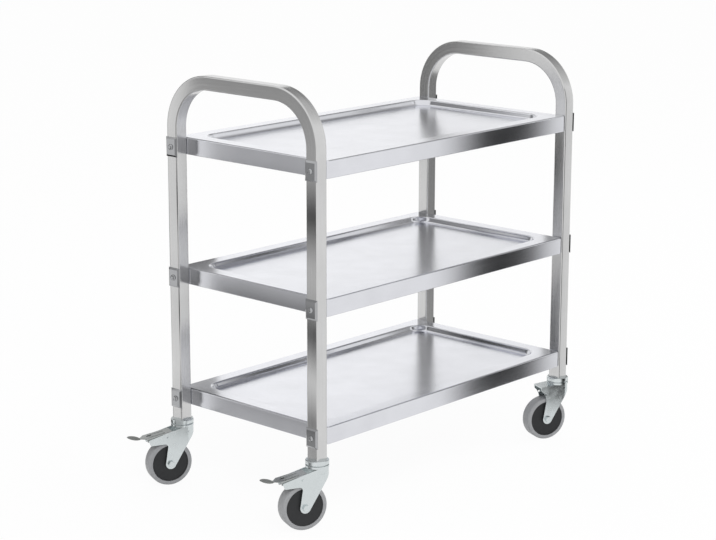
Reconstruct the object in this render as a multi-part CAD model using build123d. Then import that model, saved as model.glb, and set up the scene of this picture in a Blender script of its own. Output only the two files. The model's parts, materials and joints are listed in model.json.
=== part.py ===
"""Three-tier serving cart: two bent tube end frames, three pressed trays, four swivel casters.

The frame, trays, casters and brakes are separate pieces, bolted or pinned as on the real cart.
Lengths are in millimetres. X runs along the cart, Y across it and Z up from the floor.
"""
from build123d import *
from math import atan2, cos, hypot, sin
import os

# Cart
cart_length = 850.0
cart_width = 440.0
bottom_shelf_rise = 66.0     # end of the leg up to the bottom tray's rim
lower_bay = 272.0            # rim to rim
upper_bay = 285.0
handle_rise = 142.0          # top tray's rim up to the top of the handle

# End frame tube
tube_size = 30.0
tube_wall = 1.2
tube_edge_radius = 3.0
handle_bend_radius = 105.0   # on the tube's centre line

# Pressed trays
sheet = 1.0
apron_height = 37.0
apron_bend_radius = 2.5
hem_width = 12.0
tray_corner_radius = 8.0
rim_width = 36.0
recess_depth = 12.0
recess_run = 5.0             # how far the sloping wall leans in
recess_corner_radius = 36.0
recess_floor_radius = 4.0
lip_radius = 1.5

# Tray fastenings
bolt_radius = 4.0
bolt_hole_play = 0.2
bolt_head_radius = 6.5
bolt_head_height = 4.2
bolt_tail = 2.0              # thread left proud of the nut
bolt_dome_shares = ((0, 0), (1, 0), (0.97, 0.25), (0.76, 0.75), (0.4, 1), (0, 1))
nut_across_flats = 13.0
nut_height = 6.5
thread_play = 0.05
washer_side_lap = 2.0        # how far the washer plate overhangs the tube on each side
washer_height = 43.0
washer_rise = 3.5
washer_bevel = 4.5
washer_sheet = 1.2
bracket_sheet = 2.5
bracket_end_arm = 36.0
bracket_side_arm = 28.0
bracket_height = 26.0
bracket_inner_radius = 3.5

# Caster mounting in the leg
socket_depth = 30.0
socket_play = 0.1
stem_radius = 6.0
stem_reach = 26.0            # stem above the end of the leg

# Swivel head
cup_radius = 25.0
cup_height = 9.0
cup_sheet = 2.0
cup_shoulder_radius = 3.0
crown_gap = 2.0              # open line between the cup's skirt and the crown
crown_height = 5.0
crown_sheet = 2.5
crown_shoulder_radius = 1.5
race_play = 0.1
race_wall_play = 1.0
bearing_height = 6.0
bearing_bore_radius = 14.0
bearing_radius = 20.0
pin_play = 0.08
kingpin_head_radius = 11.0
kingpin_head_height = 3.6
kingpin_head_play = 0.2

# Fork
caster_headroom = 47.0       # tyre's top up to the end of the leg
trail = 34.0                 # swivel axis to wheel axle, measured level
fork_sheet = 2.5
fork_side_play = 0.3
fork_rear_offset = 6.0       # swivel axis back to the centre of the rounded back
fork_boss_radius = 12.0
fork_back_height = 13.0
fork_waist_drop = 32.0       # crown's underside down to the bend in the rear edge
fork_waist_reach = 10.0
fork_throat_reach = 5.0      # from the axle's upright to the front edge of the leg, at the throat
throat_drop = 12.0           # tyre's top down to the throat below the arm
throat_radius = 7.0
kingpin_window_radius = 13.0
plain_nose_reach = 52.0
plain_nose_fall = 2.5
plain_nose_depth = 9.0
plain_nose_bow = 5.0
nose_curve_shares = (0.25, 0.5, 0.75)
brake_arm_reach = 85.0
brake_arm_fall = 22.0
brake_arm_depth = 13.0
brake_arm_back = 6.0
brake_arm_step = 7.0
arm_corner_radius = 2.0
hinge_hole_radius = 2.5
fork_dent_reach = -4.0       # swivel axis to the middle of the rectangle pressed in each side
fork_dent_drop = 12.0        # crown's underside down to its middle
fork_dent_length = 10.0
fork_dent_height = 4.0
fork_dent_depth = 0.7

# Wheel
wheel_radius = 50.0
tyre_width = 30.0
tyre_shoulder_radius = 4.0
tyre_depth = 9.0
core_width = 28.0
core_key_height = 2.0
core_key_width = 10.0
core_dish_depth = 1.0
core_dish_margin = 3.0
hub_radius = 9.0
hub_width = 31.4
bush_radius = 6.0
axle_radius = 4.0
axle_head_height = 5.3
axle_nut_height = 7.5
axle_tail = 1.5

# Brake pedal
pedal_pivot_reach = 39.5     # from the swivel axis
pedal_pivot_clearance = 10.0 # tyre's top up to the pivot
pedal_slope = 9.4            # degrees below level, released
pedal_travel = 10.0          # degrees, released to locked
pedal_sheet = 1.5
pedal_side_play = 0.4
pedal_top = 10.9             # pivot up to the top of the channel
pedal_flange = 9.0
pedal_lug_radius = 6.0
pedal_back = 13.0
pedal_front = 46.0
pedal_nose = 11.0
pedal_bend_radius = 2.0
pedal_rib_length = 36.0
pedal_rib_width = 4.0
pedal_rib_rise = 1.0
pedal_rib_spacing = 14.0
pedal_rib_reach = 21.0       # pivot to the middle of the ribs
pedal_slot_length = 13.0
pedal_slot_width = 4.5
pedal_slot_reach = 37.0      # pivot to the middle of the slot
neck_width = 8.0
neck_length = 14.0
neck_tilt = 20.4             # degrees, neck against the channel
pad_length = 31.0
pad_width = 26.0
pad_thickness = 6.5
pad_play = 0.1
shoe_start = 14.0
shoe_length = 13.0
shoe_width = 22.0
shoe_gap = 0.8               # left over the tyre when locked

# Casters: side of the cart along X and Y, direction of the trail in degrees, brake or none
casters = {
    "front_left": (-1, -1, 157.0, True),
    "rear_left": (-1, 1, 157.0, True),
    "front_right": (1, -1, 157.0, False),
    "rear_right": (1, 1, -65.0, False),
}

overrun = 5.0                # cuts run this far past a face

# Heights above the floor
tyre_top = 2 * wheel_radius
leg_end = tyre_top + caster_headroom
rim_heights = {
    "bottom": leg_end + bottom_shelf_rise,
    "middle": leg_end + bottom_shelf_rise + lower_bay,
    "top": leg_end + bottom_shelf_rise + lower_bay + upper_bay,
}
handle_top = rim_heights["top"] + handle_rise
bolt_heights = [rim - apron_height / 2 for rim in rim_heights.values()]
leg_x = cart_length / 2 - tube_size / 2
leg_y = cart_width / 2 - tube_size / 2
tray_length = cart_length - 2 * tube_size
tray_end = tray_length / 2

# Levels of the swivel head and the fork
cup_underside = leg_end - cup_sheet
race_level = cup_underside - bearing_height - race_play
crown_top = leg_end - cup_height - crown_gap
crown_base = crown_top - crown_height
fork_inside = hub_width / 2 + fork_side_play
fork_outside = fork_inside + fork_sheet
pivot_height = tyre_top + pedal_pivot_clearance
bolt_hole_radius = bolt_radius + bolt_hole_play
core_radius = wheel_radius - tyre_depth


def slab(length, width, radius, low, height):
    """Upright block with rounded corners, standing on the level called low."""
    return extrude(Pos(0, 0, low) * RectangleRounded(length, width, radius), height)


def turned(points):
    """Ring turned about Z from a closed outline of radius and height pairs."""
    return revolve(Plane.XZ * make_face(Polyline(*points, close=True)), Axis.Z)


def rod_x(radius, start, length):
    """Round bar along +X from the point start."""
    plane = Plane(origin=start, x_dir=(0, 1, 0), z_dir=(1, 0, 0))
    return extrude(plane * Circle(radius), length)


def rod_y(radius, x, z, start, length):
    """Round bar along +Y."""
    plane = Plane(origin=(x, start, z), x_dir=(1, 0, 0), z_dir=(0, 1, 0))
    return extrude(plane * Circle(radius), length)


def side_cut(outline, half_width):
    """Prism of an outline drawn from the side, level across Y."""
    return extrude(Plane.XZ * outline, half_width, both=True)


def hexagon(across_flats, height, bore):
    """Nut or bolt head standing on its base."""
    nut = extrude(RegularPolygon(across_flats / 2, 6, major_radius=False), height)
    if bore:
        nut -= Cylinder(bore, 2 * height + 2 * overrun)
    return nut


def end_frame(side):
    """Square tube bent into an upside-down U, open at both feet, drilled for the tray bolts."""
    top = handle_top - tube_size / 2
    path = Plane.YZ * FilletPolyline(
        (-leg_y, leg_end), (-leg_y, top), (leg_y, top), (leg_y, leg_end),
        radius=handle_bend_radius)
    foot = Vector(0, -leg_y, leg_end)
    inside = tube_size - 2 * tube_wall
    section = RectangleRounded(tube_size, tube_size, tube_edge_radius)
    section -= Rectangle(inside, inside)
    frame = sweep(Plane(origin=foot, z_dir=(0, 0, 1)) * section, path)
    for y in (-leg_y, leg_y):
        for z in bolt_heights:
            start = Vector(-tube_size / 2 - overrun, y, z)
            frame -= rod_x(bolt_hole_radius, start, tube_size + 2 * overrun)
    return Pos(side * leg_x, 0, 0) * frame


def tray(rim):
    """Pressed sheet tray: flat rim, sunk floor, apron all round and a hem turned in below."""
    low = rim - apron_height
    block = slab(tray_length, cart_width, tray_corner_radius, low, apron_height)
    block = fillet(block.edges().group_by(Axis.Z)[-1], apron_bend_radius)
    inner_length = tray_length - 2 * sheet
    inner_width = cart_width - 2 * sheet
    hollow = slab(inner_length, inner_width, tray_corner_radius - sheet, low + sheet,
                  apron_height - 2 * sheet)
    hollow = fillet(hollow.edges().group_by(Axis.Z)[-1], apron_bend_radius - sheet)

    lip_length = tray_length - 2 * rim_width
    lip_width = cart_width - 2 * rim_width
    lean = recess_run / recess_depth
    skin = sheet * hypot(recess_run, recess_depth) / recess_depth

    def dish(grow, drop, top, floor_radius):
        """Tapered pocket, grown sideways and downwards from the tray's inside face."""
        bottom_grow = grow - recess_run - lean * drop
        lid = Pos(0, 0, rim + top) * RectangleRounded(
            lip_length + 2 * (grow + lean * top),
            lip_width + 2 * (grow + lean * top),
            recess_corner_radius + grow + lean * top)
        base = Pos(0, 0, rim - recess_depth - drop) * RectangleRounded(
            lip_length + 2 * bottom_grow,
            lip_width + 2 * bottom_grow,
            recess_corner_radius + bottom_grow)
        solid = loft([base, lid], ruled=True)
        return fillet(solid.edges().group_by(Axis.Z)[0], floor_radius)

    pocket = dish(0, 0, overrun, recess_floor_radius)
    shell = dish(skin, sheet, overrun, recess_floor_radius + sheet)
    mouth = slab(tray_length - 2 * hem_width, cart_width - 2 * hem_width,
                 tray_corner_radius, low - overrun, 2 * overrun)
    body = block - pocket - (hollow - shell) - mouth
    lip = [edge for edge in body.edges()
           if abs(edge.center().Z - rim) < sheet / 2
           and abs(edge.bounding_box().max.Z - rim) < sheet / 2
           and edge.bounding_box().max.X < tray_end - rim_width + sheet
           and edge.bounding_box().min.X > -tray_end + rim_width - sheet]
    body = fillet(lip, lip_radius)
    for side in (-1, 1):
        for y in (-leg_y, leg_y):
            start = Vector(side * tray_end - overrun, y, rim - apron_height / 2)
            body -= rod_x(bolt_hole_radius, start, 2 * overrun)
    return body


def corner_bracket(side_x, side_y, rim):
    """Bent angle welded inside a tray corner, drilled for the tray bolt."""
    arm_x = tray_end - sheet
    arm_y = cart_width / 2 - sheet
    middle = rim - apron_height / 2

    def corner_sheet(inset, radius):
        block = Pos(side_x * (arm_x - inset - bracket_side_arm / 2),
                    side_y * (arm_y - inset - bracket_end_arm / 2)) * Rectangle(
            bracket_side_arm, bracket_end_arm)
        corner = block.vertices().sort_by(lambda v: side_x * v.X + side_y * v.Y)[-1]
        return fillet(corner, radius)

    angle = corner_sheet(0, tray_corner_radius)
    angle -= corner_sheet(bracket_sheet, bracket_inner_radius)
    bracket = extrude(Pos(0, 0, middle - bracket_height / 2) * angle, bracket_height)
    start = Vector(side_x * arm_x - bracket_sheet - overrun, side_y * leg_y, middle)
    return bracket - rod_x(bolt_hole_radius, start, 2 * bracket_sheet + 2 * overrun)


def outward(side, y, z, x):
    """Placement at a leg with local Z pointing out of the cart's end and local Y up."""
    plane = Plane(origin=(side * x, y, z), x_dir=(0, side, 0), z_dir=(side, 0, 0))
    return plane.location


def washer_plate(side, y, z):
    """Pressed washer plate with bevelled edges, hollow behind."""
    width = tube_size + 2 * washer_side_lap
    face_width = width - 2 * washer_bevel
    face_height = washer_height - 2 * washer_bevel

    def pyramid(inset, low, high):
        base = Pos(0, 0, low) * Rectangle(width - 2 * inset, washer_height - 2 * inset)
        face = Pos(0, 0, high) * Rectangle(face_width - inset, face_height - inset)
        return loft([base, face], ruled=True)

    plate = pyramid(0, 0, washer_rise) - pyramid(washer_sheet, 0, washer_rise - washer_sheet)
    plate -= Cylinder(bolt_hole_radius, 2 * washer_rise + 2 * overrun)
    return outward(side, y, z, cart_length / 2) * plate


def tray_bolt(side, y, z):
    """Domed bolt through the washer plate, the leg, the apron, the bracket and the nut."""
    grip = washer_rise + tube_size + sheet + bracket_sheet + nut_height + bolt_tail
    shank = Pos(0, 0, -grip) * Cylinder(
        bolt_radius, grip, align=(Align.CENTER, Align.CENTER, Align.MIN))
    dome = turned([(out * bolt_head_radius, up * bolt_head_height) for out, up in bolt_dome_shares])
    return outward(side, y, z, cart_length / 2 + washer_rise) * (shank + dome)


def tray_nut(side, y, z):
    """Nut on the inner face of a corner bracket."""
    nut = hexagon(nut_across_flats, nut_height, bolt_radius + thread_play)
    face = tray_end - sheet - bracket_sheet
    return outward(side, y, z, face - nut_height) * nut


def stem_socket(x, y):
    """Threaded plug pressed into the foot of a leg."""
    width = tube_size - 2 * tube_wall - 2 * socket_play
    plug = extrude(Pos(0, 0, leg_end) * Rectangle(width, width), socket_depth)
    bore = Pos(0, 0, leg_end - overrun) * Cylinder(
        stem_radius + thread_play, socket_depth + 2 * overrun,
        align=(Align.CENTER, Align.CENTER, Align.MIN))
    return Pos(x, y, 0) * (plug - bore)


def caster_stem():
    """Stem and kingpin in one, with its riveted head under the crown."""
    crown_ceiling = race_level - crown_sheet
    head_top = crown_ceiling - kingpin_head_play
    return turned([
        (0, leg_end + stem_reach), (stem_radius, leg_end + stem_reach),
        (stem_radius, head_top), (kingpin_head_radius, head_top),
        (kingpin_head_radius, head_top - kingpin_head_height / 2),
        (stem_radius, head_top - kingpin_head_height), (0, head_top - kingpin_head_height),
    ])


def swivel_cup():
    """Pressed cup that caps the upper ball race."""
    cup = turned([
        (stem_radius + thread_play, leg_end), (cup_radius, leg_end),
        (cup_radius, leg_end - cup_height), (cup_radius - cup_sheet, leg_end - cup_height),
        (cup_radius - cup_sheet, cup_underside), (stem_radius + thread_play, cup_underside),
    ])
    shoulder = cup.edges().filter_by(GeomType.CIRCLE).filter_by(
        lambda e: abs(e.radius - cup_radius) < race_play and abs(e.center().Z - leg_end) < race_play)
    return fillet(shoulder, cup_shoulder_radius)


def swivel_bearing():
    """Thrust bearing, sealed between the cup and the crown."""
    low = cup_underside - bearing_height
    return turned([
        (bearing_bore_radius, low), (bearing_radius, low),
        (bearing_radius, cup_underside), (bearing_bore_radius, cup_underside),
    ])


def crown():
    """Drawn top of the fork, stepped to carry the lower race and bored for the kingpin."""
    bore = stem_radius + pin_play
    race_outside = cup_radius - cup_sheet - race_wall_play
    ring = turned([
        (bore, race_level), (race_outside, race_level), (race_outside, crown_top),
        (cup_radius, crown_top), (cup_radius, crown_base),
        (cup_radius - crown_sheet, crown_base),
        (cup_radius - crown_sheet, crown_top - crown_sheet),
        (race_outside - crown_sheet, crown_top - crown_sheet),
        (race_outside - crown_sheet, race_level - crown_sheet), (bore, race_level - crown_sheet),
    ])
    shoulder = ring.edges().filter_by(GeomType.CIRCLE).filter_by(
        lambda e: abs(e.radius - cup_radius) < race_play and abs(e.center().Z - crown_top) < race_play)
    return fillet(shoulder, crown_shoulder_radius)


def fork_outline(braked):
    """Side view of the pressed fork: back, leg, boss, throat and nose or brake arm."""
    back = -fork_rear_offset - fork_outside - sheet
    throat = Vector(trail + fork_throat_reach, tyre_top - throat_drop)
    boss_front = Vector(trail + fork_boss_radius, wheel_radius)
    lean = atan2(trail + fork_waist_reach, crown_base - fork_waist_drop - wheel_radius)
    boss_back = Vector(trail - fork_boss_radius * cos(lean), wheel_radius - fork_boss_radius * sin(lean))
    waist = Vector(-fork_waist_reach, crown_base - fork_waist_drop)
    rear = [boss_back, waist, Vector(back, crown_base - fork_back_height), Vector(back, crown_base)]
    if braked:
        arm_top = crown_base - brake_arm_fall
        arm_low = arm_top - brake_arm_depth
        front = [
            Vector(0, crown_base), Vector(brake_arm_reach, arm_top),
            Vector(brake_arm_reach - brake_arm_back, arm_low), Vector(throat.X, arm_low),
        ]
    else:
        nose_top = crown_base - plain_nose_fall
        nose_low = Vector(plain_nose_reach - sheet, nose_top - plain_nose_depth)
        bow = Vector((nose_low.X + throat.X) / 2 - plain_nose_bow, (nose_low.Y + throat.Y) / 2)
        front = [Vector(cup_radius, crown_base), Vector(plain_nose_reach, nose_top), nose_low]
        front += [ThreePointArc(nose_low, bow, throat) @ share for share in nose_curve_shares]
        front += [throat]
    outline = make_face(Polyline(*rear, *front, boss_front, close=True))
    if braked:
        outline = fillet(outline.vertices().sort_by(Axis.X)[-2:], arm_corner_radius)
        corner = outline.vertices().sort_by_distance((throat.X, arm_low, 0))[0]
        outline = fillet(corner, throat_radius)
    return outline + Pos(trail, wheel_radius) * Circle(fork_boss_radius)


def fork(braked):
    """Pressed steel fork: sides and rounded back bent from one sheet, under a drawn crown."""
    reach = brake_arm_reach if braked else plain_nose_reach
    span = reach + fork_rear_offset + overrun

    def plan(half):
        """View from above: straight sides closed by a half-round back."""
        back = Pos(-fork_rear_offset, 0) * Circle(half)
        return back + Pos(-fork_rear_offset + span / 2, 0) * Rectangle(span, 2 * half)

    walls = extrude(plan(fork_outside) - plan(fork_inside), crown_base)
    walls &= side_cut(fork_outline(braked), fork_outside + overrun)
    back = -fork_rear_offset - fork_outside - overrun
    if braked:
        roof_line = [Vector(back, crown_base), Vector(0, crown_base),
                     Vector(brake_arm_step, crown_base - brake_arm_fall * brake_arm_step / brake_arm_reach)]
    else:
        roof_line = [Vector(back, crown_base), Vector(cup_radius, crown_base),
                     Vector(plain_nose_reach, crown_base - plain_nose_fall)]
    under = [point - Vector(0, fork_sheet) for point in reversed(roof_line)]
    roof = side_cut(make_face(Polyline(*roof_line, *under, close=True)), fork_outside + overrun)
    roof &= extrude(plan(fork_outside), crown_base + overrun)
    window = Pos(0, 0, crown_base) * Cylinder(kingpin_window_radius, 2 * overrun)
    body = walls + (roof - window) + crown()
    across = 2 * fork_outside + 2 * overrun
    body -= rod_y(axle_radius + thread_play, trail, wheel_radius, -across / 2, across)
    body -= rod_y(hinge_hole_radius + thread_play, pedal_pivot_reach, pivot_height, -across / 2, across)
    if braked:
        for side in (-1, 1):
            body -= Pos(fork_dent_reach, side * fork_outside, crown_base - fork_dent_drop) * Box(
                fork_dent_length, 2 * fork_dent_depth, fork_dent_height)
    return body


def axle_bolt():
    """Axle through the fork and the bush, head on the +Y side."""
    length = 2 * fork_outside + axle_nut_height + axle_tail
    shank = Cylinder(axle_radius, length, align=(Align.CENTER, Align.CENTER, Align.MIN))
    head = Pos(0, 0, length) * hexagon(nut_across_flats, axle_head_height, 0)
    plane = Plane(origin=(trail, fork_outside - length, wheel_radius), x_dir=(1, 0, 0), z_dir=(0, 1, 0))
    return plane.location * (shank + head)


def axle_nut():
    """Lock nut against the fork's -Y side."""
    nut = hexagon(nut_across_flats, axle_nut_height, axle_radius + thread_play)
    plane = Plane(origin=(trail, -fork_outside, wheel_radius), x_dir=(1, 0, 0), z_dir=(0, -1, 0))
    return plane.location * nut


def axle_bush():
    """Tube clamped between the fork's sides, on which the wheel turns."""
    bush = rod_y(bush_radius, trail, wheel_radius, -fork_inside, 2 * fork_inside)
    return bush - rod_y(axle_radius + thread_play, trail, wheel_radius, -fork_inside, 2 * fork_inside)


def wheel_ring(points):
    """Ring turned about the axle from a closed outline of radius and width pairs."""
    plane = Plane(origin=(trail, 0, wheel_radius), x_dir=(1, 0, 0), z_dir=(0, 1, 0))
    return plane.location * turned(points)


def wheel_core():
    """Moulded wheel centre: keyed rim, dished discs and a bored hub."""
    rim = core_width / 2
    dish = rim - core_dish_depth
    edge = core_radius - core_dish_margin
    key = core_key_width / 2
    bore = bush_radius + pin_play
    return wheel_ring([
        (bore, -hub_width / 2), (hub_radius, -hub_width / 2), (hub_radius, -dish),
        (edge, -dish), (edge + core_dish_depth, -rim), (core_radius, -rim), (core_radius, -key),
        (core_radius + core_key_height, -key), (core_radius + core_key_height, key),
        (core_radius, key), (core_radius, rim), (edge + core_dish_depth, rim), (edge, dish),
        (hub_radius, dish), (hub_radius, hub_width / 2), (bore, hub_width / 2),
    ])


def tyre():
    """Soft tyre moulded over the keyed rim, with rounded shoulders."""
    half = tyre_width / 2
    key = core_key_width / 2
    ring = wheel_ring([
        (core_radius, -half), (wheel_radius, -half), (wheel_radius, half), (core_radius, half),
        (core_radius, key), (core_radius + core_key_height, key),
        (core_radius + core_key_height, -key), (core_radius, -key),
    ])
    shoulders = ring.edges().filter_by(GeomType.CIRCLE).filter_by(
        lambda e: abs(e.radius - wheel_radius) < race_play)
    return fillet(shoulders, tyre_shoulder_radius)


def pedal_frame(tilt=0.0):
    """Placement on the pedal's pivot with local X along the channel."""
    return Pos(pedal_pivot_reach, 0, pivot_height) * Rot(0, pedal_slope + tilt, 0)


def brake_pedal():
    """Channel lever: ribbed roof with folded flanges, pierced lugs and a tongue for the pad."""
    half = fork_inside - pedal_side_play
    roof_low = pedal_top - pedal_sheet
    front = pedal_front + pedal_nose

    def trough(inset):
        """Long block with bent top edges, inset from the outside of the channel."""
        block = Pos(-pedal_back - overrun, 0, pedal_top - inset) * Box(
            pedal_back + front + 2 * overrun, 2 * (half - inset), pedal_top + 2 * pedal_lug_radius,
            align=(Align.MIN, Align.CENTER, Align.MAX))
        return fillet(block.edges().filter_by(Axis.X).group_by(Axis.Z)[-1], pedal_bend_radius - inset)

    profile = Pos((pedal_front - pedal_back) / 2, pedal_top - pedal_flange / 2) * Rectangle(
        pedal_front + pedal_back, pedal_flange)
    profile += Pos(pedal_front + pedal_nose / 2, pedal_top - pedal_sheet / 2) * Rectangle(
        pedal_nose, pedal_sheet)
    profile += Circle(pedal_lug_radius)
    profile += Pos(0, pedal_top / 2) * Rectangle(2 * pedal_lug_radius, pedal_top)
    plan = make_face(Polyline(
        (-pedal_back, -half), (pedal_front, -half), (front, -neck_width / 2),
        (front, neck_width / 2), (pedal_front, half), (-pedal_back, half), close=True))
    lever = (trough(0) - trough(pedal_sheet)) & side_cut(profile, half + overrun)
    lever &= extrude(plan, pedal_top + pedal_lug_radius + overrun, both=True)
    rib = extrude(Pos(0, 0, pedal_top) * SlotOverall(pedal_rib_length, pedal_rib_width), pedal_rib_rise)
    rib = chamfer(rib.edges().group_by(Axis.Z)[-1], pedal_rib_rise / 2)
    for side in (-1, 1):
        lever += Pos(pedal_rib_reach, side * pedal_rib_spacing / 2, 0) * rib
    slot = SlotOverall(pedal_slot_length, pedal_slot_width)
    lever -= extrude(Pos(pedal_slot_reach, 0, roof_low) * slot, pedal_sheet, both=True)
    tongue = Pos(front, 0, roof_low) * Rot(0, -neck_tilt, 0) * Box(
        neck_length, neck_width, pedal_sheet, align=(Align.MIN, Align.CENTER, Align.MIN))
    lever += tongue
    lever -= rod_y(hinge_hole_radius + pin_play, 0, 0, -half - overrun, 2 * half + 2 * overrun)
    return pedal_frame() * lever


def pedal_pad():
    """Oval foot pad, domed on both faces, pushed over the tongue."""
    front = pedal_front + pedal_nose
    roof_low = pedal_top - pedal_sheet
    rise = pad_thickness / 2
    radius = ((pad_length / 2) ** 2 + rise ** 2) / 2 / rise
    oval = extrude(Ellipse(pad_length / 2, pad_width / 2), rise, both=True)
    lens = (Pos(0, 0, rise - radius) * Sphere(radius)) & (Pos(0, 0, radius - rise) * Sphere(radius))
    pad = oval & lens
    slot = Pos(-pad_length / 2 - overrun, 0, 0) * Box(
        neck_length + overrun, neck_width + 2 * pad_play, pedal_sheet + 2 * pad_play,
        align=(Align.MIN, Align.CENTER, Align.CENTER))
    pad -= slot
    seat = Pos(front, 0, roof_low) * Rot(0, -neck_tilt, 0) * Pos(pad_length / 2, 0, pedal_sheet / 2)
    return pedal_frame() * seat * pad


def brake_shoe():
    """Rubber shoe under the pedal's roof, hollowed to the tyre in the locked position."""
    roof_low = pedal_top - pedal_sheet
    block = Pos(shoe_start, 0, roof_low) * Box(
        shoe_length, shoe_width, pedal_top + pedal_pivot_clearance + wheel_radius / 2,
        align=(Align.MIN, Align.CENTER, Align.MAX))
    tread = rod_y(wheel_radius + shoe_gap, trail, wheel_radius, -shoe_width, 2 * shoe_width)
    locked = pedal_frame(pedal_travel)
    return pedal_frame() * (block - locked.inverse() * tread)


def pedal_pin():
    """Hinge pin riveted across the brake arms."""
    length = 2 * fork_outside + 2 * pedal_sheet
    return rod_y(hinge_hole_radius, pedal_pivot_reach, pivot_height, -length / 2, length)


def caster_parts(braked):
    """Pieces of one caster, about its own swivel axis with the trail along +X."""
    parts = {
        "stem": caster_stem(),
        "swivel_cup": swivel_cup(),
        "fork": fork(braked),
        "axle_bolt": axle_bolt(),
        "axle_nut": axle_nut(),
        "axle_bush": axle_bush(),
        "wheel_core": wheel_core(),
        "tyre": tyre(),
    }
    if braked:
        parts["brake_pedal"] = brake_pedal()
        parts["pedal_pad"] = pedal_pad()
        parts["brake_shoe"] = brake_shoe()
        parts["pedal_pin"] = pedal_pin()
    return parts


def build_cart():
    """All nodes by name, in the cart's own frame."""
    nodes = {}
    sides = {"left": -1, "right": 1}
    for name, side in sides.items():
        spots = [(side, y, z) for y in (-leg_y, leg_y) for z in bolt_heights]
        nodes[name + "_end_frame"] = end_frame(side)
        nodes[name + "_washer_plates"] = [washer_plate(*spot) for spot in spots]
        nodes[name + "_tray_bolts"] = [tray_bolt(*spot) for spot in spots]
        nodes[name + "_tray_nuts"] = [tray_nut(*spot) for spot in spots]
    for name, rim in rim_heights.items():
        nodes[name + "_tray"] = tray(rim)
        nodes[name + "_tray_brackets"] = [
            corner_bracket(side_x, side_y, rim) for side_x in (-1, 1) for side_y in (-1, 1)]
    nodes["stem_sockets"] = [
        stem_socket(side_x * leg_x, side_y * leg_y) for side_x in (-1, 1) for side_y in (-1, 1)]
    nodes["swivel_bearings"] = []
    kits = {True: caster_parts(True), False: caster_parts(False)}
    for name, (side_x, side_y, heading, braked) in casters.items():
        seat = Pos(side_x * leg_x, side_y * leg_y, 0) * Rot(0, 0, heading)
        for part, shape in kits[braked].items():
            nodes[name + "_" + part] = seat * shape
        nodes["swivel_bearings"].append(seat * swivel_bearing())
    return nodes


def as_shape(item):
    """A single solid as it is, or a group of solids as one compound."""
    return Compound(children=item) if isinstance(item, list) else item


def main():
    """Put the origin at the middle of the cart's footprint on the floor and write the pieces."""
    nodes = {name: as_shape(item) for name, item in build_cart().items()}
    boxes = [shape.bounding_box() for shape in nodes.values()]
    low = [min(getattr(box.min, axis) for box in boxes) for axis in "XYZ"]
    high = [max(getattr(box.max, axis) for box in boxes) for axis in "XYZ"]
    shift = Pos(-(low[0] + high[0]) / 2, -(low[1] + high[1]) / 2, -low[2])
    os.makedirs("parts", exist_ok=True)
    for name, shape in nodes.items():
        export_step(shift * shape, f"parts/{name}.step")
    print("size", [round(top - base, 4) for base, top in zip(low, high)])
    print("frame centre", shift.position)


main()
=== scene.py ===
"""Three-tier serving cart in brushed stainless steel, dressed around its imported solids.

The file is laid out as an add-on: sizes and finishes are properties, each group of like pieces has
its own operator, and the panel in the sidebar lists them. All lengths are in metres.
"""

import json
from math import atan2, copysign, cos, hypot, pi, radians, sin, tan

import bmesh
import bpy
from bpy.props import FloatProperty, FloatVectorProperty, IntProperty, PointerProperty
from mathutils import Matrix, Vector

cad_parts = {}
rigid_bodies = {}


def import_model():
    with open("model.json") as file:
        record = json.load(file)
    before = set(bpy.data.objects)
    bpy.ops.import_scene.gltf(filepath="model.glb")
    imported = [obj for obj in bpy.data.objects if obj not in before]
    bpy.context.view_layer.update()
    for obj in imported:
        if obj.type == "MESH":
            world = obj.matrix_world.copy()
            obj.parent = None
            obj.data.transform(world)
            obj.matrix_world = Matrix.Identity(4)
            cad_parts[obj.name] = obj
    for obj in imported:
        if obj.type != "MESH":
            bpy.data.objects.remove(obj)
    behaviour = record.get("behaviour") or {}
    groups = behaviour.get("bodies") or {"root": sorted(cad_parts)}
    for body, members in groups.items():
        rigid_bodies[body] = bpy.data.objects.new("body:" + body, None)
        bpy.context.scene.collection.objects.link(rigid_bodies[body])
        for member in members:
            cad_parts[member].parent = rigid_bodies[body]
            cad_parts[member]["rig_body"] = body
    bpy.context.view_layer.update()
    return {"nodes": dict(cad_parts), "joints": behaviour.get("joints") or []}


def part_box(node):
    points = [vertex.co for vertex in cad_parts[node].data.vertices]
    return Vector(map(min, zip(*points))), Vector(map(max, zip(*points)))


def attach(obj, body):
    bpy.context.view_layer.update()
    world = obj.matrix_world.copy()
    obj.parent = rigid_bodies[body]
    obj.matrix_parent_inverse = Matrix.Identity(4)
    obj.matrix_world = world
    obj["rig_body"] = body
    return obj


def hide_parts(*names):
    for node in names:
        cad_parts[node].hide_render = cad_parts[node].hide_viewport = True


bl_info = {
    "name": "Serving Cart",
    "version": (1, 0, 0),
    "blender": (4, 5, 0),
    "location": "View3D > Sidebar > Cart",
    "description": "Builds a three-tier stainless serving cart around its packed solids",
    "category": "Add Mesh",
}

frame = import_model()

MM = 0.001
ENDS = ("left", "right")
TIERS = ("bottom", "middle", "top")
CORNERS = ("front_left", "rear_left", "front_right", "rear_right")
BRAKED = ("front_left", "rear_left")

WHITE = (1, 1, 1, 1)
# Vertex attribute with the place along, across and out from the tube.
RUN = "run"
# Vertices closer than this are one.
MERGE = 0.002 * MM
# Two facets that meet flatter than this many degrees are one face.
FLAT_ANGLE = 0.5
# Edges sharper than this many degrees are broken.
EDGE_ANGLE = 40
# How far large faces lead the shading of formed sheet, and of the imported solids, in percent.
SHEET_WEIGHT = 80
SOLID_WEIGHT = 60

# Rows along a leg and along the handle's straight part, and steps round its bends and edges.
LEG_ROWS = 6
HANDLE_ROWS = 2
BEND_STEPS = 24
TUBE_EDGE_STEPS = 4
# Steps round a tray's corners and over each of its folds.
TRAY_CORNER_STEPS = 10
FOLD_STEPS = 6

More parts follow.
